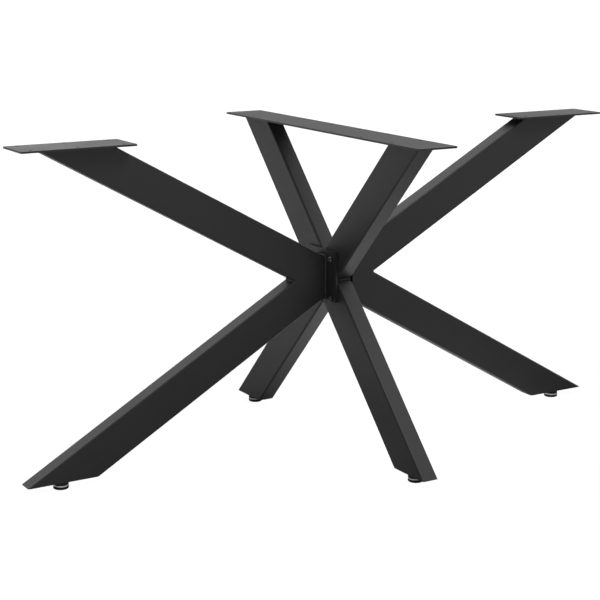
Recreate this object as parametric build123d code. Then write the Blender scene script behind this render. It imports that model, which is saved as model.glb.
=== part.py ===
from build123d import *
import os
from math import asin, atan2, cos, degrees, hypot, radians, sin

# Steel table frame with crossed legs, millimetres.
# +Z is up, X runs along the table's length, Y across its width.
# The origin is on the floor, straight below the crossing of the legs.

# Whole frame
frame_height = 720.0
half_length = 747.0
half_width = 400.0
hub_height = 386.5

# Rectangular tube
tube_wide = 80.0
tube_narrow = 40.0
tube_wall = 2.0
tube_corner = 4.0

# Top plates
plate_thick = 4.0
plate_corner = 3.0
side_plate_length = 250.0
side_plate_width = 100.0
middle_plate_width = 96.0

# Screw holes of the top plates
screw_hole_radius = 3.5
hole_edge_side = 14.0
hole_edge_middle = 12.0
hole_end_side = 25.0
middle_hole_pitch = 115.0
middle_hole_rows = 6

# Wings: one upper arm and one lower leg each
arm_tip_x = 702.0
wing_notch_x = 104.5

# Joint flanges
flange_thick = 5.0
flange_half_width = 62.0
flange_above_hub = 64.5
flange_below_hub = 52.5
flange_corner = 8.0

# Joint fasteners
bolt_radius = 4.0
bolt_reach = 61.2
bolt_length = 20.0
bolt_hole_play = 0.5
bolt_head_radius = 7.0
bolt_head_height = 4.4
bolt_head_slope = 2.6
socket_flats = 5.0
socket_depth = 2.6
washer_radius = 8.0
washer_thick = 1.6
washer_play = 0.3
rivet_nut_radius = 5.5
rivet_nut_length = 14.0
rivet_collar_radius = 7.5
rivet_collar_length = 3.0
rivet_nut_play = 0.05
thread_play = 0.05

# Leg ends
end_plate_thick = 3.0
end_plate_corner_play = 0.5
leg_nut_flats = 13.0
leg_nut_height = 6.5
stud_hole_play = 0.6

# Levelling feet
pad_radius = 16.5
pad_height = 6.0
pad_slope = 2.0
ring_radius = 16.0
ring_height = 3.5
cap_radius = 16.5
cap_height = 6.5
cap_slope = 2.0
foot_gap = 1.0
stud_radius = 4.0
stud_length = 36.0
stud_chamfer = 0.6
stud_head_radius = 9.0
stud_head_height = 2.5
stud_head_play = 0.1

# Heights that follow from the sizes above
leg_cut_z = pad_height + ring_height + cap_height + foot_gap
plate_under_z = frame_height - plate_thick
flange_face = tube_narrow / 2 + flange_thick
spare = 2 * tube_wide

# Side planes: the wings lie in XZ, the crossed legs in YZ.
# In both, local x is the level direction, local y is height, local z is the tube's thickness.
WING = Plane(origin=(0, 0, 0), x_dir=(1, 0, 0), z_dir=(0, -1, 0))
CROSS = Plane(origin=(0, 0, 0), x_dir=(0, 1, 0), z_dir=(1, 0, 0))


def cross_angle():
    """Slope in degrees of the crossed legs, whose outer edge meets the floor cut at half_width."""
    drop = hub_height - leg_cut_z
    return degrees(atan2(drop, half_width) + asin(tube_wide / 2 / hypot(drop, half_width)))


def leg_angle():
    """Slope in degrees of the wings' lower legs."""
    return degrees(atan2(hub_height - leg_cut_z, half_length - wing_notch_x))


def arm_angle():
    """Slope in degrees of the wings' upper arms."""
    return degrees(atan2(plate_under_z - hub_height, arm_tip_x - wing_notch_x))


def cut_length(angle):
    """Length of the slanting tube's section in a level plane."""
    return tube_wide / sin(radians(angle))


def foot_places():
    """Centre of each levelling foot: the middle of the level cut of each leg."""
    wing_x = half_length - cut_length(leg_angle()) / 2
    cross_y = half_width - cut_length(cross_angle()) / 2
    return {"left": (-wing_x, 0), "right": (wing_x, 0), "front": (0, -cross_y), "back": (0, cross_y)}


def bolt_places():
    """Level offset and height of the four joint bolts, on the centre lines of the crossed legs."""
    side = bolt_reach * cos(radians(cross_angle()))
    rise = bolt_reach * sin(radians(cross_angle()))
    return [(s * side, hub_height + t * rise) for s in (-1, 1) for t in (-1, 1)]


def bar(point, angle, wide, narrow, corner, reach):
    """Bar in the local XY plane through a point, with rounded long edges."""
    heading = (cos(radians(angle)), sin(radians(angle)), 0)
    start = Plane(origin=(point[0], point[1], 0), x_dir=(0, 0, 1), z_dir=heading)
    if corner > 0:
        section = RectangleRounded(narrow, wide, corner)
    else:
        section = Rectangle(narrow, wide)
    return extrude(start * section, reach, both=True)


def tube(point, angle, reach):
    """Hollow rectangular tube through a point of the local XY plane."""
    outer = bar(point, angle, tube_wide, tube_narrow, tube_corner, reach)
    return outer - bore(point, angle, tube_corner - tube_wall, reach)


def bore(point, angle, corner, reach):
    """The clear inside of the tube."""
    wide = tube_wide - 2 * tube_wall
    narrow = tube_narrow - 2 * tube_wall
    return bar(point, angle, wide, narrow, corner, reach)


def block(low_x, high_x, low_y, high_y, depth):
    """Block about the local XY plane, used to trim a member to its length."""
    centre = ((low_x + high_x) / 2, (low_y + high_y) / 2, 0)
    return Pos(*centre) * Box(high_x - low_x, high_y - low_y, depth)


def leg_line():
    """A point on the lower leg's centre line and its slope, in the wing plane on the +X side."""
    slope = leg_angle()
    turn = radians(slope)
    point = (wing_notch_x - sin(turn) * tube_wide / 2, hub_height - cos(turn) * tube_wide / 2)
    return point, -slope


def arm_line():
    """A point on the upper arm's centre line and its slope, in the wing plane on the +X side."""
    slope = arm_angle()
    turn = radians(slope)
    point = (wing_notch_x - sin(turn) * tube_wide / 2, hub_height + cos(turn) * tube_wide / 2)
    return point, slope


def wing_leg():
    """Lower leg: mitred level at the hub, upright at the flange and level above the foot."""
    point, slope = leg_line()
    reach = half_length + hub_height
    trim = block(flange_face, half_length + spare, leg_cut_z, hub_height, 2 * tube_narrow)
    return WING * (tube(point, slope, reach) & trim)


def wing_arm():
    """Upper arm: mitred level at the hub, upright at the flange and level under the plate."""
    point, slope = arm_line()
    reach = half_length + frame_height
    trim = block(flange_face, half_length + spare, hub_height, plate_under_z, 2 * tube_narrow)
    return WING * (tube(point, slope, reach) & trim)


def rivet_holes(member):
    """Bore the rivet nut holes through both wide walls of a crossed leg."""
    for y, z in bolt_places():
        member = member - Pos(y, z, 0) * Cylinder(rivet_nut_radius + rivet_nut_play, 2 * tube_narrow)
    return member


def cross_trim():
    """Height band of the crossed legs, from the floor cut to the middle plate."""
    return block(-half_width - spare, half_width + spare, leg_cut_z, plate_under_z, 2 * tube_narrow)


def through_leg():
    """Crossed leg in one length, from the front foot to the back of the middle plate."""
    reach = half_width + frame_height
    member = tube((0, hub_height), cross_angle(), reach) & cross_trim()
    return CROSS * rivet_holes(member)


def half_leg(upper):
    """Half of the other crossed leg, butted against the one-piece leg at the hub."""
    reach = half_width + frame_height
    member = tube((0, hub_height), -cross_angle(), reach) & cross_trim()
    member = member - bar((0, hub_height), cross_angle(), tube_wide, 2 * tube_narrow, 0, reach)
    halves = rivet_holes(member).solids().sort_by(Axis.Y)
    return CROSS * (halves[-1] if upper else halves[0])


def drilled_plate(length_x, length_y, holes):
    """Flat top plate with rounded corners and screw holes, its top at the frame's height."""
    outline = RectangleRounded(length_x, length_y, plate_corner)
    for x, y in holes:
        outline = outline - Pos(x, y) * Circle(screw_hole_radius)
    return Pos(0, 0, plate_under_z) * extrude(outline, plate_thick)


def side_plate():
    """Top plate of one wing, on the +X side."""
    along = side_plate_length / 2 - hole_end_side
    across = side_plate_width / 2 - hole_edge_side
    holes = [(x, y) for x in (-along, 0, along) for y in (-across, across)]
    plate = drilled_plate(side_plate_length, side_plate_width, holes)
    return Pos(half_length - side_plate_length / 2, 0, 0) * plate


def middle_plate():
    """Long top plate across the crossed legs."""
    across = middle_plate_width / 2 - hole_edge_middle
    first = -middle_hole_pitch * (middle_hole_rows - 1) / 2
    rows = [first + middle_hole_pitch * n for n in range(middle_hole_rows)]
    holes = [(x, y) for x in (-across, across) for y in rows]
    return drilled_plate(middle_plate_width, 2 * half_width, holes)


def flange():
    """Upright joint flange of one wing, bolted to the wide faces of the crossed legs."""
    high = flange_above_hub + flange_below_hub
    middle = hub_height + (flange_above_hub - flange_below_hub) / 2
    outline = Pos(0, middle) * RectangleRounded(2 * flange_half_width, high, flange_corner)
    for y, z in bolt_places():
        outline = outline - Pos(y, z) * Circle(bolt_radius + bolt_hole_play)
    face = CROSS.offset(tube_narrow / 2)
    return extrude(face * outline, flange_thick)


def at_bolts(piece):
    """One copy of a piece at each joint bolt, its own z axis pointing away from the hub along +X."""
    return Compound(children=[CROSS * Pos(y, z, 0) * piece for y, z in bolt_places()])


def joint_bolt():
    """Button head bolt with a hex socket, seated on the washer."""
    seat = flange_face + washer_thick
    head = Pos(0, 0, seat) * extrude(Circle(bolt_head_radius), bolt_head_height)
    head = chamfer(head.edges().sort_by(Axis.Z)[-1], bolt_head_slope)
    socket = extrude(RegularPolygon(socket_flats / 2, 6, major_radius=False), socket_depth)
    head = head - Pos(0, 0, seat + bolt_head_height - socket_depth) * socket
    shank = Pos(0, 0, seat - bolt_length) * extrude(Circle(bolt_radius), bolt_length)
    return head + shank


def washer():
    """Flat washer between the bolt head and the flange."""
    outline = Circle(washer_radius) - Circle(bolt_radius + washer_play)
    return Pos(0, 0, flange_face) * extrude(outline, washer_thick)


def rivet_nut():
    """Flush rivet nut in the wall of a crossed leg, its collar formed behind the wall."""
    outer_face = tube_narrow / 2
    sleeve = Pos(0, 0, outer_face - rivet_nut_length) * extrude(Circle(rivet_nut_radius), rivet_nut_length)
    collar_z = outer_face - tube_wall - rivet_collar_length
    collar = Pos(0, 0, collar_z) * extrude(Circle(rivet_collar_radius), rivet_collar_length)
    hole = Pos(0, 0, -tube_narrow) * extrude(Circle(bolt_radius + thread_play), 3 * tube_narrow)
    return sleeve + collar - hole


def end_plate(point, slope, place):
    """Plate welded into the level cut of a leg, flush with it, with a hole for the foot's stud."""
    corner = tube_corner - tube_wall + end_plate_corner_play
    inside = bore(point, slope, corner, half_length + frame_height)
    level = block(-2 * half_length, 2 * half_length, leg_cut_z, leg_cut_z + end_plate_thick, 2 * tube_narrow)
    stud_hole = Pos(place, leg_cut_z, 0) * Rot(90, 0, 0) * Cylinder(stud_radius + stud_hole_play, tube_wide)
    return (inside & level) - stud_hole


def leg_nut():
    """Weld nut on the end plate."""
    outline = RegularPolygon(leg_nut_flats / 2, 6, major_radius=False) - Circle(stud_radius + thread_play)
    return Pos(0, 0, leg_cut_z + end_plate_thick) * extrude(outline, leg_nut_height)


def foot_pad():
    """Soft base of a foot, sloped off below, with a pocket for the stud's head."""
    body = extrude(Circle(pad_radius), pad_height)
    body = chamfer(body.edges().sort_by(Axis.Z)[0], pad_slope)
    pocket = Pos(0, 0, pad_height - stud_head_height) * extrude(
        Circle(stud_head_radius + stud_head_play), stud_head_height)
    return body - pocket


def foot_ring():
    """Steel disc that holds the stud's head down in the pad."""
    outline = Circle(ring_radius) - Circle(stud_radius + thread_play)
    return Pos(0, 0, pad_height) * extrude(outline, ring_height)


def foot_cap():
    """Plastic cover on the steel disc."""
    body = Pos(0, 0, pad_height + ring_height) * extrude(Circle(cap_radius), cap_height)
    body = chamfer(body.edges().sort_by(Axis.Z)[-1], cap_slope)
    hole = Cylinder(stud_radius + thread_play, 4 * (pad_height + ring_height + cap_height))
    return body - hole


def foot_stud():
    """Levelling stud with a flat round head."""
    shank = Pos(0, 0, pad_height) * extrude(Circle(stud_radius), stud_length)
    shank = chamfer(shank.edges().sort_by(Axis.Z)[-1], stud_chamfer)
    head_z = pad_height - stud_head_height
    return shank + Pos(0, 0, head_z) * extrude(Circle(stud_head_radius), stud_head_height)


def both_sides(name, piece, parts):
    """Enter a +X side piece and its mirror image on the -X side."""
    parts["right_" + name] = piece
    parts["left_" + name] = mirror(piece, about=Plane.YZ)


def build():
    """All pieces by name."""
    parts = {}
    places = foot_places()
    both_sides("wing_leg", wing_leg(), parts)
    both_sides("wing_arm", wing_arm(), parts)
    both_sides("wing_plate", side_plate(), parts)
    both_sides("wing_flange", flange(), parts)
    both_sides("joint_bolts", at_bolts(joint_bolt()), parts)
    both_sides("joint_washers", at_bolts(washer()), parts)
    both_sides("rivet_nuts", at_bolts(rivet_nut()), parts)
    point, slope = leg_line()
    both_sides("end_plate", WING * end_plate(point, slope, places["right"][0]), parts)
    parts["cross_through_leg"] = through_leg()
    parts["cross_upper_half"] = half_leg(True)
    parts["cross_lower_half"] = half_leg(False)
    parts["middle_plate"] = middle_plate()
    hub = (0, hub_height)
    parts["back_end_plate"] = CROSS * end_plate(hub, -cross_angle(), places["back"][1])
    parts["front_end_plate"] = CROSS * end_plate(hub, cross_angle(), places["front"][1])
    for side, (x, y) in places.items():
        here = Pos(x, y, 0)
        parts[side + "_leg_nut"] = here * leg_nut()
        parts[side + "_foot_pad"] = here * foot_pad()
        parts[side + "_foot_ring"] = here * foot_ring()
        parts[side + "_foot_cap"] = here * foot_cap()
        parts[side + "_foot_stud"] = here * foot_stud()
    return parts


def main():
    os.makedirs("parts", exist_ok=True)
    for name, piece in build().items():
        export_step(piece, "parts/" + name + ".step")


main()
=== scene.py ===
"""Looks of the black steel table frame with crossed legs, built round its packed CAD model."""

import math

import bpy
import numpy as np
from mathutils import Matrix, Vector


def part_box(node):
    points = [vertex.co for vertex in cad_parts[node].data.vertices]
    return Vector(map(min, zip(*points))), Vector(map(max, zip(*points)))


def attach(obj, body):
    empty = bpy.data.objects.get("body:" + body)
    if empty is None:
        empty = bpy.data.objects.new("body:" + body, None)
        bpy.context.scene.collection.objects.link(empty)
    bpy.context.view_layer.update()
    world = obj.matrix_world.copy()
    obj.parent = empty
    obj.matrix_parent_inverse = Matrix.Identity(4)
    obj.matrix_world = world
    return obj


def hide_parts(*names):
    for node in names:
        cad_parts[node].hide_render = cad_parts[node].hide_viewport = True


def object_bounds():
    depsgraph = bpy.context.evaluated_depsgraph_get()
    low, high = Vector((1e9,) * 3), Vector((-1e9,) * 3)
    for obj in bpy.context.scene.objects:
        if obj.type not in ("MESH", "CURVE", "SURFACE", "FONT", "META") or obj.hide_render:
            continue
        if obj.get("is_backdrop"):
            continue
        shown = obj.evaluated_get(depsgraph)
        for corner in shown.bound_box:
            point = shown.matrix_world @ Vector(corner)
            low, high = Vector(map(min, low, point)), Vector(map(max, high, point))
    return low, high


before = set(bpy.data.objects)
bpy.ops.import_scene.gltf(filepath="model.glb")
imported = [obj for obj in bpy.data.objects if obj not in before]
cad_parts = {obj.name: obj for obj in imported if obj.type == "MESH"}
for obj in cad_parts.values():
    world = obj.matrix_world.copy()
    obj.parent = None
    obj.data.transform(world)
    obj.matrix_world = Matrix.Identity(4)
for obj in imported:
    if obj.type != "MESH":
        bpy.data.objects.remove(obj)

CAD_LOW, CAD_HIGH = (np.array(corner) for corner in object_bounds())

bl_info = {
    "name": "Crossed Leg Table Frame",
    "version": (1, 0, 0),
    "blender": (4, 5, 0),
    "location": "3D View > Sidebar > Table Frame",
    "description": "Finishes, welds, bolts and levelling feet of a steel table frame",
    "category": "Object",
}

MM = 0.001
SIDES = ("left", "right")
FEET = ("left", "right", "front", "back")
FRAME_BODY = "frame"

# Nodes by finish
COATED = (
    "left_wing_leg", "left_wing_arm", "left_wing_flange",
    "right_wing_leg", "right_wing_arm", "right_wing_flange",
    "cross_through_leg", "cross_upper_half", "cross_lower_half",
    "left_end_plate", "right_end_plate", "front_end_plate", "back_end_plate",
)
TOP_PLATES = ("left_wing_plate", "right_wing_plate", "middle_plate")
BLACK_STEEL = ("left_joint_washers", "right_joint_washers")
BRIGHT_STEEL = (
    "left_rivet_nuts", "right_rivet_nuts",
    "left_leg_nut", "right_leg_nut", "front_leg_nut", "back_leg_nut",
)

# Sizes that the CAD solids have too, in metres
TUBE_CORNER = 0.004
BOLT_HEAD_RADIUS = 7 * MM
THREAD_RADIUS = 4 * MM
RING_BORE = 4.05 * MM
PAD_POCKET = 9.1 * MM
POCKET_DEPTH = 0.0025
STUD_HEAD_HEIGHT = 0.0025


# Settings that a user would change

LENGTH = {"subtype": "DISTANCE", "unit": "LENGTH"}
COLOUR = {"subtype": "COLOR", "size": 3, "min": 0.0, "max": 1.0}
PLACE = {"subtype": "TRANSLATION", "size": 3}


class CoatSettings(bpy.types.PropertyGroup):
    """The powder coat on tubes and plates."""

    tube_colour: bpy.props.FloatVectorProperty(
        name="Tube Colour", description="Colour of the coat on the tubes",
        default=(0.018, 0.018, 0.0182), **COLOUR)
    plate_colour: bpy.props.FloatVectorProperty(
        name="Plate Colour", description="Colour of the coat on the top plates",
        default=(0.008, 0.008, 0.0082), **COLOUR)
    roughness: bpy.props.FloatProperty(
        name="Roughness", description="Roughness of the coat", default=0.46, min=0.0, max=1.0,
        subtype="FACTOR")
    grain: bpy.props.FloatProperty(
        name="Grain", description="Distance from one grain of the coat to the next", default=0.0011,
        min=0.0001, max=0.01, **LENGTH)
    mottle: bpy.props.FloatProperty(
        name="Mottle", description="Width of the coat's soft light and dark patches", default=0.008,
        min=0.001, max=0.1, **LENGTH)


class WeldSettings(bpy.types.PropertyGroup):
    """The weld beads."""

    bead: bpy.props.FloatProperty(
        name="Bead Width", description="How far a bead reaches along each wall", default=0.0042,
        min=0.001, max=0.02, **LENGTH)
    notch_bead: bpy.props.FloatProperty(
        name="Notch Bead Width",
        description="How far a bead reaches along each wall in the legs' notches", default=0.0078,
        min=0.001, max=0.03, **LENGTH)
    cross_bead: bpy.props.FloatProperty(
        name="Cross Bead Width", description="How far a bead reaches where the crossed legs meet",
        default=0.0058, min=0.001, max=0.03, **LENGTH)
    ripple: bpy.props.FloatProperty(
        name="Ripple Pitch", description="Distance from one ripple of a bead to the next",
        default=0.0024, min=0.0005, max=0.01, **LENGTH)
    ripple_depth: bpy.props.FloatProperty(
        name="Ripple Depth", description="Share of the bead's width that a ripple takes", default=0.09,
        min=0.0, max=0.5, subtype="FACTOR")


class BoltSettings(bpy.types.PropertyGroup):
    """The joint bolts."""

    rim: bpy.props.FloatProperty(
        name="Head Rim", description="Height of the upright rim of the head", default=0.0006, min=0.0,
        max=0.005, **LENGTH)
    flats: bpy.props.FloatProperty(
        name="Socket Flats", description="Width across the flats of the hex socket", default=0.005,
        min=0.001, max=0.01, **LENGTH)
    socket_depth: bpy.props.FloatProperty(
        name="Socket Depth", description="Depth of the hex socket", default=0.0026, min=0.001,
        max=0.01, **LENGTH)


class FootSettings(bpy.types.PropertyGroup):
    """The levelling feet."""

    pad_colour: bpy.props.FloatVectorProperty(
        name="Pad Colour", description="Colour of the soft pad and of the cover",
        default=(0.006, 0.006, 0.0061), **COLOUR)
    pad_round: bpy.props.FloatProperty(
        name="Pad Rounding", description="Radius of the pad's lower edge", default=0.0026, min=0.0,
        max=0.005, **LENGTH)
    thread_pitch: bpy.props.FloatProperty(
        name="Thread Pitch", description="Pitch of the stud's thread", default=0.00125, min=0.0005,
        max=0.003, **LENGTH)
    thread_depth: bpy.props.FloatProperty(
        name="Thread Depth", description="Depth of the stud's thread", default=0.00065, min=0.0,
        max=0.002, **LENGTH)


class StageSettings(bpy.types.PropertyGroup):
    """Camera, floor and lights."""

    azimuth: bpy.props.FloatProperty(
        name="Azimuth", description="Camera's turn round the frame, 0 from the front",
        default=math.radians(-31.34), subtype="ANGLE")
    elevation: bpy.props.FloatProperty(
        name="Elevation", description="Camera's height above the horizon",
        default=math.radians(13.018), subtype="ANGLE")
    roll: bpy.props.FloatProperty(
        name="Roll", description="Camera's turn about its own axis", default=math.radians(0.217),
        subtype="ANGLE")
    distance: bpy.props.FloatProperty(
        name="Distance", description="Camera's distance from the point it aims at", default=3.4809,
        min=0.5, **LENGTH)
    aim_right: bpy.props.FloatProperty(
        name="Aim Right", description="How far right of the frame's middle the camera aims",
        default=-0.06852, **LENGTH)
    aim_up: bpy.props.FloatProperty(
        name="Aim Up", description="How far above the frame's middle the camera aims",
        default=-0.031845, **LENGTH)
    lens: bpy.props.FloatProperty(
        name="Lens", description="Focal length in millimetres on a 36 mm sensor", default=91.99,
        min=10.0)
    top_light: bpy.props.FloatProperty(
        name="Top", description="Strength of the surround overhead", default=1.65, min=0.0)
    back_light: bpy.props.FloatProperty(
        name="Back", description="Strength of the surround low down behind", default=1.2, min=0.0)
    left_light: bpy.props.FloatProperty(
        name="Left", description="Strength of the surround low down at the left", default=0.5, min=0.0)
    right_light: bpy.props.FloatProperty(
        name="Right", description="Strength of the surround low down behind the right wing",
        default=0.45, min=0.0)
    edge_light: bpy.props.FloatProperty(
        name="Far Right", description="Strength of the surround low down at the far right",
        default=0.95, min=0.0)
    front_light: bpy.props.FloatProperty(
        name="Front", description="Share of the surround's strength on the camera's side",
        default=0.22, min=0.0)
    high_power: bpy.props.FloatProperty(
        name="High Light", description="Power of the light high up in front in watts", default=24.0,
        min=0.0, subtype="POWER")
    # Painted light: the floor under the frame glows with white emission, a pool of light that comes
    # from no lamp. The settings below set its strength, centre and reach.
    painted_glow: bpy.props.FloatProperty(
        name="Glow", description="Strength of the soft glow of the floor under the frame", default=1.4,
        min=0.0)
    painted_glow_centre: bpy.props.FloatVectorProperty(
        name="Glow Centre", description="Where the floor glows most", default=(0.28, -0.05, 0.0),
        **PLACE)
    painted_glow_reach: bpy.props.FloatProperty(
        name="Glow Reach", description="Where the glow has faded out", default=0.5, min=0.0, **LENGTH)
    # Painted shade: the floor is painted darker round one centre under the frame. This is a shadow
    # painted on the floor, which the tubes reflect. The settings below set its colour, centre and
    # reach.
    painted_shade_floor: bpy.props.FloatVectorProperty(
        name="Near Floor", description="Colour of the floor under the frame",
        default=(0.21, 0.21, 0.21), **COLOUR)
    far_floor: bpy.props.FloatVectorProperty(
        name="Far Floor", description="Colour of the floor away from the frame",
        default=(0.9, 0.9, 0.9), **COLOUR)
    painted_shade_centre: bpy.props.FloatVectorProperty(
        name="Near Centre", description="Where the floor is darkest", default=(0.62, -0.25, 0.0),
        **PLACE)
    painted_shade_reach: bpy.props.FloatProperty(
        name="Near Reach", description="Where the floor starts to grow paler", default=0.3, min=0.0,
        **LENGTH)
    far_reach: bpy.props.FloatProperty(
        name="Far Reach", description="Where the floor is at its palest", default=2.4, min=0.0,
        **LENGTH)


# Mesh building


def grid_faces(rows, columns, wrap_rows, wrap_columns):
    """Four-sided faces of a grid of points, row after row, wrapped round where asked."""
    last_row = rows if wrap_rows else rows - 1
    last_column = columns if wrap_columns else columns - 1
    i, j = np.meshgrid(np.arange(last_row), np.arange(last_column), indexing="ij")
    next_i = (i + 1) % rows
    next_j = (j + 1) % columns
    corners = (i * columns + j, i * columns + next_j, next_i * columns + next_j, next_i * columns + j)
    return np.stack([corner.ravel() for corner in corners], axis=1)


def fan_faces(ring, pole, reverse):
    """Triangles from a closed ring of point numbers to one pole."""
    after = np.roll(ring, -1)
    first, second = (after, ring) if reverse else (ring, after)
    return np.stack([first, second, np.full(len(ring), pole)], axis=1)


def make_piece(name, points, faces, material, slot, body=FRAME_BODY):
    """Mesh object of the points and faces, smooth shaded, riding on a body."""
    mesh = bpy.data.meshes.new(name)
    mesh.from_pydata(points.tolist(), [], [face.tolist() for block in faces for face in block])
    mesh.update()
    mesh.polygons.foreach_set("use_smooth", np.ones(len(mesh.polygons), dtype=bool))
    piece = bpy.data.objects.new(name, mesh)
    bpy.context.scene.collection.objects.link(piece)
    mesh.materials.append(material)
    set_outward(mesh)
    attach(piece, body)
    return piece


def set_outward(mesh):
    """Turn all faces outward: the signed volume of a closed mesh is above zero when they are."""
    mesh.calc_loop_triangles()
    corners = np.empty(len(mesh.loop_triangles) * 3, dtype=np.int32)
    mesh.loop_triangles.foreach_get("vertices", corners)
    places = np.empty(len(mesh.vertices) * 3)
    mesh.vertices.foreach_get("co", places)
    a, b, c = places.reshape(-1, 3)[corners.reshape(-1, 3)].transpose(1, 0, 2)
    if np.einsum("ij,ij->i", a, np.cross(b, c)).sum() < 0:
        mesh.flip_normals()


def join_parts(parts):
    """One array of points and a list of face blocks from several (points, faces) parts."""
    points, faces, start = [], [], 0
    for part_points, part_faces in parts:
        points.append(part_points)
        faces += [block + start for block in part_faces]
        start += len(part_points)
    return np.concatenate(points), faces


def turned_body(radius, height, segments):
    """Closed turned solid about the z axis.

    radius and height are arrays with one row for each ring of the profile, from one pole to the
    other, and one column for each step of the turn. A point is (r cos t, r sin t, h), with t a full
    turn in equal steps.
    """
    turn = np.arange(segments) * 2 * np.pi / segments
    radius = np.broadcast_to(radius, (len(radius), segments))
    height = np.broadcast_to(height, (len(height), segments))
    rings = np.stack([radius * np.cos(turn), radius * np.sin(turn), height], axis=2)
    rows = len(rings)
    poles = np.array([[0, 0, height[0].mean()], [0, 0, height[-1].mean()]])
    points = np.concatenate([rings.reshape(-1, 3), poles])
    first_ring = np.arange(segments)
    last_ring = first_ring + (rows - 1) * segments
    faces = [
        grid_faces(rows, segments, False, True),
        fan_faces(first_ring, rows * segments, True),
        fan_faces(last_ring, rows * segments + 1, False),
    ]
    return points, faces


def turned_ring(radius, height, segments):
    """Closed turned ring about the z axis: its profile closes on itself, (r cos t, r sin t, h)."""
    turn = np.arange(segments) * 2 * np.pi / segments
    rings = np.stack([
        radius[:, None] * np.cos(turn),
        radius[:, None] * np.sin(turn),
        np.broadcast_to(height[:, None], (len(height), segments)),
    ], axis=2)
    return rings.reshape(-1, 3), [grid_faces(len(radius), segments, True, True)]


def arc(centre, radius, start, stop, steps):
    """Points (r, h) of an arc between two angles in degrees, ends included."""
    angle = np.radians(np.linspace(start, stop, steps))
    return np.stack([centre[0] + radius * np.cos(angle), centre[1] + radius * np.sin(angle)], axis=1)


def fine_steps(profile, longest):
    """The profile with straight runs cut into steps no longer than asked."""
    out = [profile[:1]]
    for start, stop in zip(profile[:-1], profile[1:]):
        count = max(1, int(np.ceil(np.linalg.norm(stop - start) / longest)))
        share = np.arange(1, count + 1)[:, None] / count
        out.append(start + (stop - start) * share)
    return np.concatenate(out)


# Welds

# How a bead is laid: sections to a ripple and in all, and points across the crown
RIPPLE_SECTIONS, FEWEST_SECTIONS, CROWN_POINTS = 6, 8, 9
# The slow change of its width, as a share, and its two waves' lengths for one radian
WANDER, LONG_WAVE, SHORT_WAVE, SHORT_START = 0.04, 0.013, 0.0071, 1.3
# Height of the crown, depth of the root and least size of an open end, as shares of the width
PLAIN_CROWN, NOTCH_CROWN, CROSS_CROWN = 0.14, 0.04, 0.42
ROOT_SHARE, END_SHARE = 0.25, 0.02
# Width on the flanges and under the plates, as shares of the bead width
FLANGE_SHARE, PLATE_SHARE = 0.6, 0.8
# How much of a tube's corner a notch bead stops short of, at the wings and at the crossed legs
WING_STOP, CROSS_STOP = 0.6, 0.25
# Longest step of the outlines that the beads follow, and points across a notch
FLANGE_STEP, PLATE_STEP, NOTCH_POINTS = 0.002, 0.003, 24


def unit(vectors):
    """The vectors at length one."""
    return vectors / np.linalg.norm(vectors, axis=-1, keepdims=True)


def at_runs(rows, run, at):
    """Rows of numbers that belong to runs along a path, read off at other runs."""
    return np.stack([np.interp(at, run, column) for column in rows.T], axis=1)


def bead(path, wall_a, wall_b, width, settings, closed, crown=PLAIN_CROWN):
    """Weld bead in the corner of two walls, a section carried along a path.

    At each point of the path the section runs from the path's corner, w out along wall a, round a
    shallow crown to w out along wall b, and back behind the corner. Its width w is given at each
    point of the path, or once. It swells and shrinks along the path as one minus the size of a
    sine, which gives the ripples of a hand-laid bead, and tapers off at open ends.
    """
    width = np.broadcast_to(width, len(path))
    if closed:
        path, wall_a, wall_b, width = (np.concatenate([row, row[:1]])
                                       for row in (path, wall_a, wall_b, width))
    run = np.concatenate([[0], np.cumsum(np.linalg.norm(np.diff(path, axis=0), axis=1))])
    count = max(FEWEST_SECTIONS, int(round(run[-1] / (settings.ripple / RIPPLE_SECTIONS))))
    at = np.linspace(0, run[-1], count, endpoint=not closed)
    points = at_runs(path, run, at)
    a, b = unit(at_runs(wall_a, run, at)), unit(at_runs(wall_b, run, at))
    width = np.interp(at, run, width)
    ripple = 1 - np.abs(np.sin(np.pi * at / settings.ripple))
    wander = 0.5 * np.sin(at / LONG_WAVE) + 0.5 * np.sin(at / SHORT_WAVE + SHORT_START)
    swell = 1 - settings.ripple_depth * ripple + WANDER * wander
    if not closed:
        end = np.minimum(at, at[-1] - at) / width
        swell = swell * np.sqrt(np.clip(end, END_SHARE, 1))
    share = np.linspace(0, 1, CROWN_POINTS)
    out = unit(a + b)
    reach = (width * swell)[:, None, None]
    chord = (1 - share)[None, :, None] * a[:, None] + share[None, :, None] * b[:, None]
    bulge = crown * np.sin(np.pi * share)[None, :, None] * out[:, None]
    front = points[:, None] + reach * (chord + bulge)
    back = points[:, None] - ROOT_SHARE * reach * out[:, None]
    rings = np.concatenate([front, back], axis=1)
    rows, columns = rings.shape[:2]
    faces = [grid_faces(rows, columns, closed, True)]
    flat = rings.reshape(-1, 3)
    if not closed:
        ends = np.stack([rings[0].mean(axis=0), rings[-1].mean(axis=0)])
        flat = np.concatenate([flat, ends])
        ring = np.arange(columns)
        faces.append(fan_faces(ring, rows * columns, True))
        faces.append(fan_faces(ring + (rows - 1) * columns, rows * columns + 1, False))
    return flat, faces


def round_outline(low, high, corner, steps=6):
    """Closed outline (u, v) and outward normals of a rectangle with rounded corners."""
    centres = ((high[0] - corner, high[1] - corner), (low[0] + corner, high[1] - corner),
               (low[0] + corner, low[1] + corner), (high[0] - corner, low[1] + corner))
    outline, normals = [], []
    for k, centre in enumerate(centres):
        angle = np.radians(np.linspace(90 * k, 90 * k + 90, steps))
        normal = np.stack([np.cos(angle), np.sin(angle)], axis=1)
        outline.append(np.array(centre) + corner * normal)
        normals.append(normal)
    return np.concatenate(outline), np.concatenate(normals)


def node_points(node):
    """The points of a CAD node's mesh, in metres."""
    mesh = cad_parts[node].data
    places = np.empty(len(mesh.vertices) * 3)
    mesh.vertices.foreach_get("co", places)
    return places.reshape(-1, 3)


def node_box(node):
    """Lowest and highest corner of a CAD node."""
    low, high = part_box(node)
    return np.array(low), np.array(high)


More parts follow.
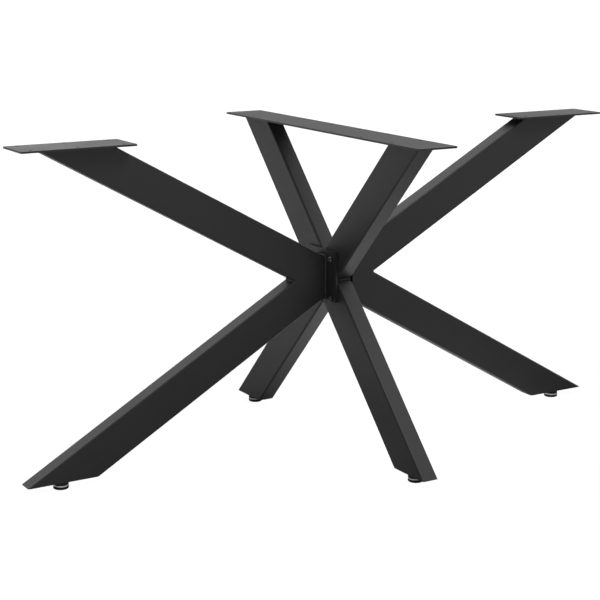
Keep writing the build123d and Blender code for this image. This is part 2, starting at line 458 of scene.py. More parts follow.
class Tubes:
    """Lines of the frame's tubes, worked out from the CAD nodes."""

    def __init__(self):
        leg_low, leg_high = node_box("right_wing_leg")
        arm, leg, upper, lower = (node_points(node) for node in (
            "right_wing_arm", "right_wing_leg", "cross_upper_half", "cross_lower_half"))
        self.half_thick = leg_high[1]
        self.cut_z = leg_low[2]
        self.hub_z = leg_high[2]
        self.flange_x = leg_low[0]
        self.plate_z = node_box("middle_plate")[0][2]
        near = 0.0005
        self.notch_x = leg[leg[:, 2] > self.hub_z - near][:, 0].max()
        at_plate = arm[arm[:, 2] > self.plate_z - near][:, 0]
        self.arm_x = (at_plate.min(), at_plate.max())
        self.end_low_z = leg[leg[:, 0] < self.flange_x + near][:, 2].min()
        self.end_high_z = arm[arm[:, 0] < self.flange_x + near][:, 2].max()
        self.arm_slope = math.atan2(self.plate_z - self.hub_z, self.arm_x[1] - self.notch_x)
        self.leg_slope = math.atan2(self.hub_z - self.cut_z, leg_high[0] - self.notch_x)
        at_top = np.abs(upper[upper[:, 2] > self.plate_z - near][:, 1])
        self.cross_y = (at_top.min(), at_top.max())
        foot_y = np.abs(lower[lower[:, 2] < self.cut_z + near][:, 1]).max()
        wide = self.cross_y[1] - self.cross_y[0]
        self.cross_slope = math.atan2(self.plate_z - self.cut_z, self.cross_y[1] + foot_y - wide)
        self.side_notch = wide / 2
        self.high_notch = wide / 2 * math.tan(self.cross_slope)


def outline_run(low, high, step):
    """A tube's closed outline in short steps, and its outward normals."""
    outline, normals = round_outline(low, high, TUBE_CORNER)
    steps = fine_steps(np.concatenate([outline, outline[:1]]), step)[:-1]
    nearest = np.argmin(np.linalg.norm(steps[:, None] - outline[None], axis=2), axis=1)
    return steps, normals[nearest]


def square_to(along, tangent):
    """The part of a direction that is square to a path's tangent, at length one."""
    return unit(along - (along * tangent).sum(axis=1)[:, None] * tangent)


def flange_weld(tubes, settings, side):
    """Bead round the mitred tube end on the flange, on one side of the hub.

    It is twice as wide over and under the tube as beside it.
    """
    steps, normal = outline_run((-tubes.half_thick, tubes.end_low_z),
                                (tubes.half_thick, tubes.end_high_z), FLANGE_STEP)
    none = np.zeros(len(steps))
    path = np.column_stack([np.full(len(steps), tubes.flange_x), steps])
    slope = np.where(steps[:, 1] > tubes.hub_z, tubes.arm_slope, -tubes.leg_slope)
    along = np.stack([np.cos(slope), none, np.sin(slope)], axis=1)
    tangent = np.column_stack([none, -normal[:, 1], normal[:, 0]])
    width = settings.bead * (FLANGE_SHARE + FLANGE_SHARE * np.abs(normal[:, 1]))
    points, faces = bead(path, np.column_stack([none, normal]), square_to(along, tangent), width,
                         settings, True)
    points[:, 0] *= side
    return points, faces


def plate_weld(tubes, reach, slope, turn, settings):
    """Bead round a tube's level cut under a plate.

    The outline is in (u, v), with u along the tube's run over its reach, and the tube falls away
    from the plate towards lower u at its slope. turn carries u and v onto X and Y.
    """
    steps, normal = outline_run((reach[0], -tubes.half_thick), (reach[1], tubes.half_thick),
                                PLATE_STEP)
    none = np.zeros(len(steps))
    path = np.column_stack([steps, np.full(len(steps), tubes.plate_z)])
    along = np.tile([-math.cos(slope), 0.0, -math.sin(slope)], (len(steps), 1))
    tangent = np.column_stack([-normal[:, 1], normal[:, 0], none])
    points, faces = bead(path, np.column_stack([normal, none]), square_to(along, tangent),
                         settings.bead * PLATE_SHARE, settings, True)
    return points @ np.array(turn).T, faces


def notch_weld(corner, wall_a, wall_b, across, half, width, crown, settings):
    """Bead across the bottom of a notch between two tubes, from one wide face to the other."""
    share = np.linspace(-1, 1, NOTCH_POINTS)[:, None]
    path = np.array(corner) + np.array(across) * share * half
    a, b = (np.tile(wall, (NOTCH_POINTS, 1)) for wall in (wall_a, wall_b))
    return bead(path, a, b, width, settings, False, crown)


def lay_bead(name, points, faces):
    """A weld bead as a piece, in the tubes' coat."""
    make_piece(name, points, faces, bpy.data.materials["powder_coat_tubes"], "black_powder_coat")


# Materials


def new_group(name, inputs, outputs):
    """Empty shader node group with named sockets, and its input and output nodes."""
    group = bpy.data.node_groups.new(name, "ShaderNodeTree")
    for label, kind, default in inputs:
        socket = group.interface.new_socket(label, in_out="INPUT", socket_type=kind)
        socket.default_value = default
    for label, kind in outputs:
        group.interface.new_socket(label, in_out="OUTPUT", socket_type=kind)
    entry = group.nodes.new("NodeGroupInput")
    leave = group.nodes.new("NodeGroupOutput")
    entry.location, leave.location = (-900, 0), (700, 0)
    return group, entry, leave


def link(group, source, target):
    """Join two sockets."""
    group.links.new(source, target)


def math_node(tree, kind, first, second=None, third=None):
    """Math node fed by sockets or numbers; its output."""
    node = tree.nodes.new("ShaderNodeMath")
    node.operation = kind
    for socket, value in zip(node.inputs, (first, second, third)):
        if value is None:
            continue
        if hasattr(value, "is_linked"):
            link(tree, value, socket)
        else:
            socket.default_value = value
    return node.outputs[0]


def vector_node(tree, kind, vector, other):
    """Vector math node on a vector and another given as numbers."""
    node = tree.nodes.new("ShaderNodeVectorMath")
    node.operation = kind
    link(tree, vector, node.inputs[0])
    node.inputs[1].default_value = other
    return node.outputs["Value"]


def noise_node(tree, vector, scale, detail=2.0, rough=0.5):
    """Noise texture at a scale given by a socket or a number; its value output."""
    node = tree.nodes.new("ShaderNodeTexNoise")
    node.inputs["Detail"].default_value = detail
    node.inputs["Roughness"].default_value = rough
    link(tree, vector, node.inputs["Vector"])
    if hasattr(scale, "is_linked"):
        link(tree, scale, node.inputs["Scale"])
    else:
        node.inputs["Scale"].default_value = scale
    return node.outputs["Fac"]


def grain_group():
    """Surface of a sprayed or moulded finish: patches of colour and gloss, and grain in relief.

    Grain and Mottle are widths in metres. Colour comes out with a soft mottle, wider clouds and
    fine grain, Roughness with the same mottle, and Height is the grain with a few specks on it.
    """
    group, entry, leave = new_group(
        "surface_grain",
        (("Colour", "NodeSocketColor", (0.02, 0.02, 0.02, 1.0)),
         ("Roughness", "NodeSocketFloat", 0.5),
         ("Grain", "NodeSocketFloat", 0.001),
         ("Mottle", "NodeSocketFloat", 0.008),
         ("Contrast", "NodeSocketFloat", 0.1)),
        (("Colour", "NodeSocketColor"), ("Roughness", "NodeSocketFloat"),
         ("Height", "NodeSocketFloat")))
    # How much the fine grain adds to the colour and the mottle to the gloss, the sizes of clouds
    # and specks next to mottle and grain, and where a speck starts and how high it stands
    fine_share, gloss_share = 0.6, 0.12
    cloud_scale, speck_scale = 0.09, 0.33
    speck_level, speck_height = 0.62, 2.5
    place = group.nodes.new("ShaderNodeTexCoord").outputs["Object"]
    grain_scale = math_node(group, "DIVIDE", 1.0, entry.outputs["Grain"])
    mottle_scale = math_node(group, "DIVIDE", 1.0, entry.outputs["Mottle"])
    cloud_scale = math_node(group, "MULTIPLY", mottle_scale, cloud_scale)
    grain = noise_node(group, place, grain_scale, detail=3.0, rough=0.6)
    mottle = noise_node(group, place, mottle_scale, detail=3.0, rough=0.55)
    cloud = noise_node(group, place, cloud_scale)
    centred = math_node(group, "SUBTRACT", math_node(group, "ADD", mottle, cloud), 1.0)
    fine = math_node(group, "SUBTRACT", grain, 0.5)
    mixed = math_node(group, "MULTIPLY_ADD", fine, fine_share, centred)
    patch = math_node(group, "MULTIPLY_ADD", mixed, entry.outputs["Contrast"], 1.0)
    scale = group.nodes.new("ShaderNodeVectorMath")
    scale.operation = "SCALE"
    link(group, entry.outputs["Colour"], scale.inputs[0])
    link(group, patch, scale.inputs["Scale"])
    link(group, scale.outputs[0], leave.inputs["Colour"])
    gloss = math_node(group, "MULTIPLY_ADD", centred, gloss_share, entry.outputs["Roughness"])
    link(group, gloss, leave.inputs["Roughness"])
    speck_scale = math_node(group, "MULTIPLY", grain_scale, speck_scale)
    speck = noise_node(group, place, speck_scale, detail=1.0, rough=0.4)
    above = math_node(group, "MAXIMUM", math_node(group, "SUBTRACT", speck, speck_level), 0.0)
    height = math_node(group, "ADD", grain, math_node(group, "MULTIPLY", above, speck_height))
    link(group, height, leave.inputs["Height"])
    return group


def blank_material(name, roughness=0.5, metallic=0.0, specular=0.5):
    """Material with its Principled BSDF; constants are set on the shader's own sockets."""
    material = bpy.data.materials.new(name)
    material.use_nodes = True
    shader = material.node_tree.nodes["Principled BSDF"]
    shader.inputs["Roughness"].default_value = roughness
    shader.inputs["Metallic"].default_value = metallic
    shader.inputs["Specular IOR Level"].default_value = specular
    return material, material.node_tree, shader


def grained(name, group, colour, roughness, grain, mottle, contrast, relief, metallic=0.0,
            specular=0.5):
    """Material fed by the grain group, with the group's height as a bump.

    Its node tree, the group's node and the bump are returned with it.
    """
    material, tree, shader = blank_material(name, roughness, metallic, specular)
    surface = tree.nodes.new("ShaderNodeGroup")
    surface.node_tree = group
    for key, value in (("Colour", (*colour, 1.0)), ("Roughness", roughness), ("Grain", grain),
                       ("Mottle", mottle), ("Contrast", contrast)):
        surface.inputs[key].default_value = value
    bump = tree.nodes.new("ShaderNodeBump")
    bump.inputs["Distance"].default_value = relief
    link(tree, surface.outputs["Colour"], shader.inputs["Base Color"])
    link(tree, surface.outputs["Roughness"], shader.inputs["Roughness"])
    link(tree, surface.outputs["Height"], bump.inputs["Height"])
    link(tree, bump.outputs["Normal"], shader.inputs["Normal"])
    return material, tree, surface, bump


# Specular level of the coat on the tubes and on the top plates
TUBE_SPECULAR, PLATE_SPECULAR = 0.36, 0.5


def powder_coat(name, colour, specular, settings, group):
    """Fine-grained black powder coat on steel."""
    return grained(name, group, colour, settings.roughness, settings.grain, settings.mottle,
                   contrast=0.22, relief=0.00004, specular=specular)[0]


def black_oxide(group):
    """Oiled black oxide on bolts and washers."""
    return grained("black_oxide_steel", group, colour=(0.085, 0.085, 0.088), roughness=0.3,
                   grain=0.0006, mottle=0.003, contrast=0.4, relief=0.00001, metallic=0.85)[0]


def zinc_plate(group):
    """Bright zinc on studs, discs and nuts, with fine turning lines round the upright axis."""
    material, tree, surface, bump = grained(
        "zinc_plated_steel", group, colour=(0.82, 0.82, 0.84), roughness=0.26,
        grain=0.0005, mottle=0.003, contrast=0.18, relief=0.00001, metallic=1.0)
    line_height, line_scale = 0.8, (40.0, 40.0, 4000.0)
    stretch = tree.nodes.new("ShaderNodeMapping")
    stretch.inputs["Scale"].default_value = line_scale
    link(tree, tree.nodes.new("ShaderNodeTexCoord").outputs["Object"], stretch.inputs["Vector"])
    lines = noise_node(tree, stretch.outputs["Vector"], 1.0, rough=0.6)
    height = math_node(tree, "MULTIPLY_ADD", lines, line_height, surface.outputs["Height"])
    link(tree, height, bump.inputs["Height"])
    return material


def moulded(name, colour, roughness, grain, group):
    """Moulded rubber or plastic with a fine sparked texture."""
    grained(name, group, colour, roughness, grain, mottle=0.005, contrast=0.25, relief=0.00003,
            specular=0.28)


def give(node, material):
    """Put a material on a CAD node in place of its plain one."""
    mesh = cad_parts[node].data
    mesh.materials.clear()
    mesh.materials.append(material)


# Bolts

# How the head is built: steps of its turn and its dome, and the sizes of its small bevels
BOLT_SEGMENTS, DOME_STEPS = 48, 10
FINE_BEVEL, SOCKET_BEVEL, SOCKET_RIM, SOCKET_CONE = 0.0002, 0.0001, 0.0006, 0.0004
FILLET, FILLET_HEIGHT = 0.0003, 0.0005
# The tip's radius and bevel and the socket's two floor rings, as shares
TIP_SHARE, TIP_BEVEL, FLOOR_SHARE, CONE_SHARE = 0.8, 0.2, 0.9, 0.3


def hex_radius(turn, flats):
    """Distance from the axis to a hexagon's side, at each angle of a turn."""
    from_flat = (turn + np.pi / 6) % (np.pi / 3) - np.pi / 6
    return flats / 2 / np.cos(from_flat)


def bolt_shape(head_radius, head_height, shank_radius, shank_length, settings):
    """Button head bolt along z, its seat at z = 0 and its head above.

    The head's outside is a rim and an elliptic dome, r = R cos q and h = rim + (H - rim) sin q, cut
    off at a flat top. Inside it the rings change from a circle to a hexagon and go down the socket
    to a shallow cone.
    """
    turn = np.arange(BOLT_SEGMENTS) * 2 * np.pi / BOLT_SEGMENTS
    hexagon = hex_radius(turn, settings.flats)
    stop = math.acos((hexagon.max() + SOCKET_RIM) / head_radius)
    angle = np.linspace(0, stop, DOME_STEPS)
    dome_r = head_radius * np.cos(angle)
    dome_h = settings.rim + (head_height - settings.rim) * np.sin(angle) / math.sin(stop)
    floor = head_height - settings.socket_depth
    rows = [
        (shank_radius * TIP_SHARE, -shank_length),
        (shank_radius, -shank_length + shank_radius * TIP_BEVEL),
        (shank_radius, -FILLET_HEIGHT),
        (shank_radius + FILLET, 0),
        (head_radius - FINE_BEVEL, 0),
        (head_radius, FINE_BEVEL),
        *zip(dome_r, dome_h),
        (hexagon + SOCKET_BEVEL, head_height),
        (hexagon, head_height - FINE_BEVEL),
        (hexagon, floor + FINE_BEVEL),
        (hexagon * FLOOR_SHARE, floor),
        (hexagon * CONE_SHARE, floor - SOCKET_CONE),
    ]
    radius = np.stack([np.broadcast_to(r, BOLT_SEGMENTS) for r, _ in rows])
    height = np.array([h for _, h in rows])[:, None]
    return turned_body(radius, height, BOLT_SEGMENTS)


def bolt_set(node, washers, sign, settings):
    """The four bolts of one side, placed by the boxes of the CAD bolts and washers."""
    low, high = node_box(node)
    seat = max(abs(corner[0]) for corner in node_box(washers))
    end, head = sorted((abs(low[0]), abs(high[0])))
    radius = BOLT_HEAD_RADIUS
    points, faces = bolt_shape(radius, head - seat, THREAD_RADIUS, seat - end, settings)
    x = sign * (seat + points[:, 2])
    parts = []
    for y in (low[1] + radius, high[1] - radius):
        for z in (low[2] + radius, high[2] - radius):
            parts.append((np.column_stack([x, points[:, 0] + y, points[:, 1] + z]), faces))
    return join_parts(parts)


# Feet

# Steps of the turn, steps to a thread's pitch, and longest step of the pad's profile
FOOT_SEGMENTS, STUD_SEGMENTS, THREAD_STEPS, PAD_STEP = 72, 32, 8, 0.002
# Lower and upper edge of the disc and of the cover: radius and steps of each
DISC_EDGES, COVER_EDGES = (0.0005, 5, 0.0005, 5), (0.0003, 4, 0.002, 7)


def foot_middle(foot):
    """X and Y of a foot's axis."""
    low, high = node_box(foot + "_foot_pad")
    return (low[:2] + high[:2]) / 2


def foot_box(foot, kind):
    """Lowest and highest level of a piece of a foot, and its radius."""
    low, high = node_box(foot + "_foot_" + kind)
    return low[2], high[2], (high[0] - low[0]) / 2


def at_foot(foot, points, faces):
    """The points moved to a foot's middle, with their faces."""
    x, y = foot_middle(foot)
    return points + np.array([x, y, 0.0]), faces


def foot_pad(foot, settings):
    """Soft pad: a turned profile, hollow below, with a rounded edge, a lip and a pocket on top."""
    low, high, radius = foot_box(foot, "pad")
    r, lip, hollow, centre = settings.pad_round, 0.0004, 0.0003, 0.002
    hollow_edge, sole_edge = radius * 0.5, radius * 0.55
    bottom = high - POCKET_DEPTH
    profile = np.concatenate([
        [[centre, low + hollow], [hollow_edge, low + hollow], [sole_edge, low]],
        arc((radius - r, low + r), r, -90, 0, 8),
        arc((radius - lip, high - lip), lip, 0, 90, 4),
        [[PAD_POCKET, high], [PAD_POCKET, bottom], [centre, bottom]],
    ])
    profile = fine_steps(profile, PAD_STEP)
    return at_foot(foot, *turned_body(profile[:, :1], profile[:, 1:], FOOT_SEGMENTS))


def foot_ring(foot, kind, lower, lower_steps, upper, upper_steps):
    """Ring round a foot's stud: a disc or cover, its outer edge rounded below and above."""
    low, high, radius = foot_box(foot, kind)
    profile = np.concatenate([
        [[RING_BORE, low]],
        arc((radius - lower, low + lower), lower, -90, 0, lower_steps),
        arc((radius - upper, high - upper), upper, 0, 90, upper_steps),
        [[RING_BORE, high]],
    ])
    return at_foot(foot, *turned_ring(profile[:, 0], profile[:, 1], FOOT_SEGMENTS))


def foot_stud(foot, settings):
    """Threaded stud: r = R - depth times a triangle wave of height over pitch less turn.

    The wave fades out near the head and the tip, and below it the rings widen to the flat head.
    """
    low, high, head_radius = foot_box(foot, "stud")
    head_top, neck, tip, centre = low + STUD_HEAD_HEIGHT, 0.0004, 0.0006, 0.001
    turn = np.arange(STUD_SEGMENTS) * 2 * np.pi / STUD_SEGMENTS
    pitch = settings.thread_pitch
    rise = np.arange(head_top + neck, high - tip, pitch / THREAD_STEPS)
    wave = (rise[:, None] / pitch - turn[None] / (2 * np.pi)) % 1.0
    tooth = np.abs(2 * wave - 1)
    fade = np.clip(np.minimum(rise - rise[0], rise[-1] - rise) / pitch, 0, 1)[:, None]
    shank = THREAD_RADIUS - settings.thread_depth * tooth * fade
    ends = np.array([[centre, low], [head_radius, low], [head_radius, head_top],
                     [THREAD_RADIUS, head_top]])
    radius = np.concatenate([np.repeat(ends[:, :1], STUD_SEGMENTS, axis=1), shank,
                             np.full((1, STUD_SEGMENTS), THREAD_RADIUS - tip)])
    height = np.concatenate([ends[:, 1], rise, [high]])[:, None]
    return at_foot(foot, *turned_body(radius, height, STUD_SEGMENTS))


# Stage

WHITE = (1.0, 1.0, 1.0, 1.0)
# The floor's half width, how much of it the camera sees through, and the white behind it
FLOOR_HALF, FLOOR_CLEAR, SEEN_WHITE = 60.0, 0.8, 1.2
# Where the surround changes: parts of a unit direction across, upward and towards the camera
LEFT_TO_BACK, BACK_TO_RIGHT, RIGHT_TO_EDGE = (-0.5, -0.1), (0.37, 0.48), (0.54, 0.71)
LOW_TO_TOP, BACK_TO_FRONT = (0.5, 0.85), (0.1, 0.4)
# The camera's sensor in millimetres, and how far it sees in metres
SENSOR_WIDTH, FARTHEST_SEEN = 36.0, 200.0


def make_floor(settings):
    """Wide pale floor with a painted shadow that darkens it near one centre, and a painted glow of
    light round another.

    The camera sees through most of it to the white surround, so a foot that is screwed out past
    the floor still shows.
    """
    mesh = bpy.data.meshes.new("floor")
    corners = [(x * FLOOR_HALF, y * FLOOR_HALF, 0)
               for x, y in ((-1, -1), (1, -1), (1, 1), (-1, 1))]
    mesh.from_pydata(corners, [], [(0, 1, 2, 3)])
    floor = bpy.data.objects.new("floor", mesh)
    bpy.context.scene.collection.objects.link(floor)
    material, tree, shader = blank_material("studio_floor", roughness=0.9, specular=0.1)
    place = tree.nodes.new("ShaderNodeTexCoord").outputs["Object"]
    # Painted shadow: the floor's colour goes from the dark colour at the shade centre out to the pale
    # far colour.
    from_painted_shade = vector_node(tree, "DISTANCE", place, settings.painted_shade_centre)
    far = map_range(tree, from_painted_shade, settings.painted_shade_reach, settings.far_reach, 0.0, 1.0)
    tone = tree.nodes.new("ShaderNodeMix")
    tone.data_type = "RGBA"
    link(tree, far, tone.inputs["Factor"])
    tone.inputs["A"].default_value = (*settings.painted_shade_floor, 1.0)
    tone.inputs["B"].default_value = (*settings.far_floor, 1.0)
    link(tree, tone.outputs["Result"], shader.inputs["Base Color"])
    # Painted light: white emission on the floor, strongest at the glow centre and fading out at its
    # reach.
    from_painted_glow = vector_node(tree, "DISTANCE", place, settings.painted_glow_centre)
    painted_glow = map_range(tree, from_painted_glow, 0.0, settings.painted_glow_reach, settings.painted_glow, 0.0)
    shader.inputs["Emission Color"].default_value = WHITE
    link(tree, painted_glow, shader.inputs["Emission Strength"])
    clear = tree.nodes.new("ShaderNodeBsdfTransparent")
    mix = tree.nodes.new("ShaderNodeMixShader")
    link(tree, to_camera(tree, FLOOR_CLEAR), mix.inputs["Fac"])
    link(tree, shader.outputs["BSDF"], mix.inputs[1])
    link(tree, clear.outputs["BSDF"], mix.inputs[2])
    link(tree, mix.outputs["Shader"], tree.nodes["Material Output"].inputs["Surface"])
    mesh.materials.append(material)
    floor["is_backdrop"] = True


def to_camera(tree, value):
    """The value for what the camera sees directly, and 0 for all other light."""
    path = tree.nodes.new("ShaderNodeLightPath")
    return math_node(tree, "MULTIPLY", path.outputs["Is Camera Ray"], value)


def add_light(name, place, aim, size, power):
    """Soft light aimed at a point."""
    data = bpy.data.lights.new(name, "AREA")
    data.shape = "RECTANGLE"
    data.size, data.size_y = size
    data.energy = power
    lamp = bpy.data.objects.new(name, data)
    bpy.context.scene.collection.objects.link(lamp)
    lamp.location = place
    lamp.rotation_euler = (Vector(aim) - Vector(place)).to_track_quat("-Z", "Y").to_euler()


def make_lights(settings):
    """White surround, brightest overhead and dim on the camera's side, and a soft light.

    Seen directly, the surround is plain white.
    """
    world = bpy.data.worlds.new("surround")
    world.use_nodes = True
    tree = world.node_tree
    background = tree.nodes["Background"]
    background.inputs["Color"].default_value = WHITE
    direction = tree.nodes.new("ShaderNodeTexCoord").outputs["Generated"]
    split = tree.nodes.new("ShaderNodeSeparateXYZ")
    link(tree, direction, split.inputs[0])
    toward = vector_node(tree, "DOT_PRODUCT", direction,
                         (math.sin(settings.azimuth), -math.cos(settings.azimuth), 0.0))
    across, up = split.outputs["X"], split.outputs["Z"]
    left = map_range(tree, across, *LEFT_TO_BACK, settings.left_light, settings.back_light)
    right = map_range(tree, across, *BACK_TO_RIGHT, 0.0, settings.right_light - settings.back_light)
    edge = map_range(tree, across, *RIGHT_TO_EDGE, 0.0, settings.edge_light - settings.right_light)
    around = math_node(tree, "ADD", math_node(tree, "ADD", left, right), edge)
    top = map_range(tree, up, *LOW_TO_TOP, 0.0, 1.0)
    rest = math_node(tree, "SUBTRACT", 1.0, top)
    low = math_node(tree, "MULTIPLY", rest, around)
    bright = math_node(tree, "MULTIPLY_ADD", top, settings.top_light, low)
    facing = map_range(tree, toward, *BACK_TO_FRONT, 1.0, settings.front_light)
    strength = math_node(tree, "MULTIPLY", bright, facing)
    seen = math_node(tree, "MAXIMUM", strength, to_camera(tree, SEEN_WHITE))
    link(tree, seen, background.inputs["Strength"])
    bpy.context.scene.world = world
    add_light("high_light", place=(0.15, -1.3, 2.6), aim=(0, -0.2, 0.2), size=(0.9, 0.9),
              power=settings.high_power)


def map_range(tree, value, low, high, first, second):
    """Smooth step of a value from one number to another."""
    node = tree.nodes.new("ShaderNodeMapRange")
    node.interpolation_type = "SMOOTHSTEP"
    for key, number in zip(("From Min", "From Max", "To Min", "To Max"), (low, high, first, second)):
        node.inputs[key].default_value = number
    link(tree, value, node.inputs["Value"])
    return node.outputs["Result"]


def make_camera(settings):
    """Camera at the photograph's angle.

    It looks at the frame's middle, moved along its own right and up, from a distance along a line
    turned by azimuth and raised by elevation, and is rolled about that line.
    """
    turn, rise = settings.azimuth, settings.elevation
    back = Vector((math.sin(turn) * math.cos(rise), -math.cos(turn) * math.cos(rise), math.sin(rise)))
    right = (-back).cross(Vector((0, 0, 1))).normalized()
    up = right.cross(-back)
    middle = Vector((0, 0, (CAD_LOW[2] + CAD_HIGH[2]) / 2))
    data = bpy.data.cameras.new("camera")
    data.sensor_width = SENSOR_WIDTH
    data.lens = settings.lens
    data.clip_end = FARTHEST_SEEN
    camera = bpy.data.objects.new("camera", data)
    bpy.context.scene.collection.objects.link(camera)
    tilt = Matrix.Rotation(settings.roll, 3, back)
    axes = Matrix((tilt @ right, tilt @ up, back)).transposed().to_4x4()
    place = middle + right * settings.aim_right + up * settings.aim_up + back * settings.distance
    camera.matrix_world = Matrix.Translation(place) @ axes
    bpy.context.scene.camera = camera


# Operators


class TABLEFRAME_OT_finishes(bpy.types.Operator):
    """Coat the tubes and plates and plate the steel pieces"""

    bl_idname = "tableframe.finishes"
    bl_label = "Finishes"

    def execute(self, context):
        coat = context.scene.tableframe_coat
        group = grain_group()
        feet = context.scene.tableframe_feet
        tubes = powder_coat("powder_coat_tubes", coat.tube_colour, TUBE_SPECULAR, coat, group)
        plates = powder_coat("powder_coat_plates", coat.plate_colour, PLATE_SPECULAR, coat, group)
        black, zinc = black_oxide(group), zinc_plate(group)
        for nodes, material in ((COATED, tubes), (TOP_PLATES, plates), (BLACK_STEEL, black),
                                (BRIGHT_STEEL, zinc)):
            for node in nodes:
                give(node, material)
        moulded("pad_rubber", feet.pad_colour, roughness=0.5, grain=0.0007, group=group)
        moulded("cap_plastic", feet.pad_colour, roughness=0.38, grain=0.0009, group=group)
        return {"FINISHED"}


class TABLEFRAME_OT_flange_welds(bpy.types.Operator):
    """Lay the beads that join the wings' tubes to their flanges"""

    bl_idname = "tableframe.flange_welds"
    bl_label = "Flange Welds"

    def execute(self, context):
        tubes = Tubes()
        settings = context.scene.tableframe_welds
        for side, sign in zip(SIDES, (-1, 1)):
            lay_bead(side + "_flange_weld", *flange_weld(tubes, settings, sign))
        return {"FINISHED"}


class TABLEFRAME_OT_plate_welds(bpy.types.Operator):
    """Lay the beads that join the upper tubes to the top plates"""

    bl_idname = "tableframe.plate_welds"
    bl_label = "Plate Welds"

    def execute(self, context):
        tubes = Tubes()
        settings = context.scene.tableframe_welds
        arm = (tubes.arm_x, tubes.arm_slope)
        leg = (tubes.cross_y, tubes.cross_slope)
        for name, run, turn in (
                ("right_arm_weld", arm, ((1, 0, 0), (0, 1, 0), (0, 0, 1))),
                ("left_arm_weld", arm, ((-1, 0, 0), (0, -1, 0), (0, 0, 1))),
                ("back_leg_weld", leg, ((0, -1, 0), (1, 0, 0), (0, 0, 1))),
                ("front_leg_weld", leg, ((0, 1, 0), (-1, 0, 0), (0, 0, 1)))):
            lay_bead(name, *plate_weld(tubes, *run, turn, settings))
        return {"FINISHED"}


class TABLEFRAME_OT_notch_welds(bpy.types.Operator):
    """Lay the beads across the notches between the legs"""

    bl_idname = "tableframe.notch_welds"
    bl_label = "Notch Welds"

    def execute(self, context):
        tubes = Tubes()
        settings = context.scene.tableframe_welds
        half = tubes.half_thick - TUBE_CORNER * WING_STOP
        for side, sign in zip(SIDES, (-1, 1)):
            up = (sign * math.cos(tubes.arm_slope), 0, math.sin(tubes.arm_slope))
            down = (sign * math.cos(tubes.leg_slope), 0, -math.sin(tubes.leg_slope))
            lay_bead(side + "_notch_weld", *notch_weld(
                (sign * tubes.notch_x, 0, tubes.hub_z), up, down, (0, 1, 0), half,
                settings.notch_bead, NOTCH_CROWN, settings))
        half = tubes.half_thick - TUBE_CORNER * CROSS_STOP
        run, rise = math.cos(tubes.cross_slope), math.sin(tubes.cross_slope)
        parts = []
        for sign in (-1, 1):
            for corner, up, down in (
                    ((0, sign * tubes.side_notch, tubes.hub_z),
                     (0, sign * run, rise), (0, sign * run, -rise)),
                    ((0, 0, tubes.hub_z + sign * tubes.high_notch),
                     (0, run, sign * rise), (0, -run, sign * rise))):
                parts.append(notch_weld(corner, up, down, (1, 0, 0), half, settings.cross_bead,
                                        CROSS_CROWN, settings))
        lay_bead("cross_notch_welds", *join_parts(parts))
        return {"FINISHED"}


class TABLEFRAME_OT_joint_bolts(bpy.types.Operator):
    """Model the button head bolts of the hub"""

    bl_idname = "tableframe.joint_bolts"
    bl_label = "Joint Bolts"

    def execute(self, context):
        settings = context.scene.tableframe_bolts
        black = bpy.data.materials["black_oxide_steel"]
        for side, sign in zip(SIDES, (-1, 1)):
            node = side + "_joint_bolts"
            points, faces = bolt_set(node, side + "_joint_washers", sign, settings)
            piece = make_piece(side + "_button_bolts", points, faces, black, "black_fastener")
            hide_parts(node)
        return {"FINISHED"}


class TABLEFRAME_OT_feet(bpy.types.Operator):
    """Model the pads, discs, covers and threaded studs of the levelling feet"""

    bl_idname = "tableframe.feet"
    bl_label = "Levelling Feet"

    def execute(self, context):
        settings = context.scene.tableframe_feet
        for foot in FEET:
            for kind, shape, material, slot in (
                    ("pad", foot_pad(foot, settings), "pad_rubber", "foot_rubber"),
                    ("ring", foot_ring(foot, "ring", *DISC_EDGES), "zinc_plated_steel", "zinc_steel"),
                    ("cap", foot_ring(foot, "cap", *COVER_EDGES), "cap_plastic", "foot_plastic"),
                    ("stud", foot_stud(foot, settings), "zinc_plated_steel", "zinc_steel")):
                node = foot + "_foot_" + kind
                piece = make_piece(foot + "_" + kind, *shape, bpy.data.materials[material], slot,
                                   foot + "_foot")
                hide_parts(node)
        return {"FINISHED"}


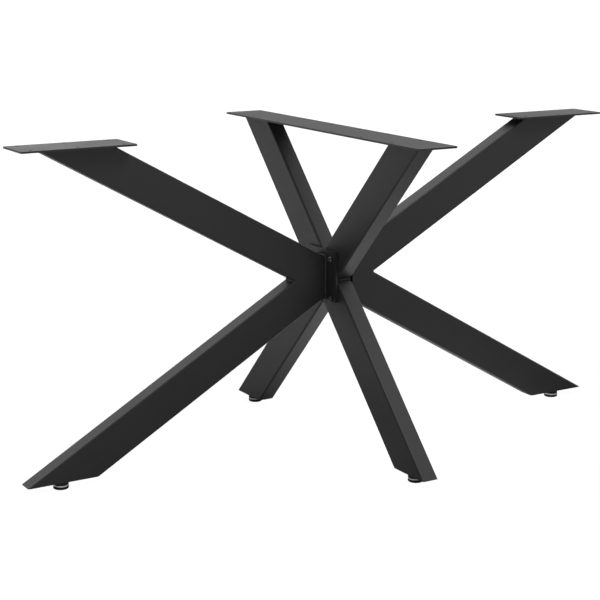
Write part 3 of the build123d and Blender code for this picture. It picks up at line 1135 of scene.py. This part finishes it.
class TABLEFRAME_OT_stage(bpy.types.Operator):
    """Set up the floor, the lights and the camera"""

    bl_idname = "tableframe.stage"
    bl_label = "Stage"

    def execute(self, context):
        settings = context.scene.tableframe_stage
        make_floor(settings)
        make_lights(settings)
        make_camera(settings)
        context.scene.view_settings.view_transform = "Standard"
        return {"FINISHED"}


# Panel and registration


class TABLEFRAME_PT_panel(bpy.types.Panel):
    """Buttons and settings of the table frame"""

    bl_idname = "TABLEFRAME_PT_panel"
    bl_label = "Table Frame"
    bl_space_type = "VIEW_3D"
    bl_region_type = "UI"
    bl_category = "Table Frame"

    def draw(self, context):
        layout = self.layout
        for operator in OPERATORS:
            layout.operator(operator.bl_idname)
        for name in SETTINGS:
            group = getattr(context.scene, name)
            box = layout.box()
            box.label(text=SETTINGS[name].__doc__)
            for key in SETTINGS[name].__annotations__:
                box.prop(group, key)


OPERATORS = (
    TABLEFRAME_OT_finishes,
    TABLEFRAME_OT_flange_welds,
    TABLEFRAME_OT_plate_welds,
    TABLEFRAME_OT_notch_welds,
    TABLEFRAME_OT_joint_bolts,
    TABLEFRAME_OT_feet,
    TABLEFRAME_OT_stage,
)
SETTINGS = {
    "tableframe_coat": CoatSettings,
    "tableframe_welds": WeldSettings,
    "tableframe_bolts": BoltSettings,
    "tableframe_feet": FootSettings,
    "tableframe_stage": StageSettings,
}


def register():
    """Register the classes and hang the settings on the scene."""
    for kind in (*SETTINGS.values(), *OPERATORS, TABLEFRAME_PT_panel):
        bpy.utils.register_class(kind)
    for name, kind in SETTINGS.items():
        setattr(bpy.types.Scene, name, bpy.props.PointerProperty(type=kind))


def unregister():
    """Take the settings and the classes away again."""
    for name in SETTINGS:
        delattr(bpy.types.Scene, name)
    for kind in reversed((*SETTINGS.values(), *OPERATORS, TABLEFRAME_PT_panel)):
        bpy.utils.unregister_class(kind)


def main():
    """Build every piece in order."""
    register()
    bpy.ops.tableframe.finishes()
    bpy.ops.tableframe.flange_welds()
    bpy.ops.tableframe.plate_welds()
    bpy.ops.tableframe.notch_welds()
    bpy.ops.tableframe.joint_bolts()
    bpy.ops.tableframe.feet()
    bpy.ops.tableframe.stage()


if __name__ == "__main__":
    main()
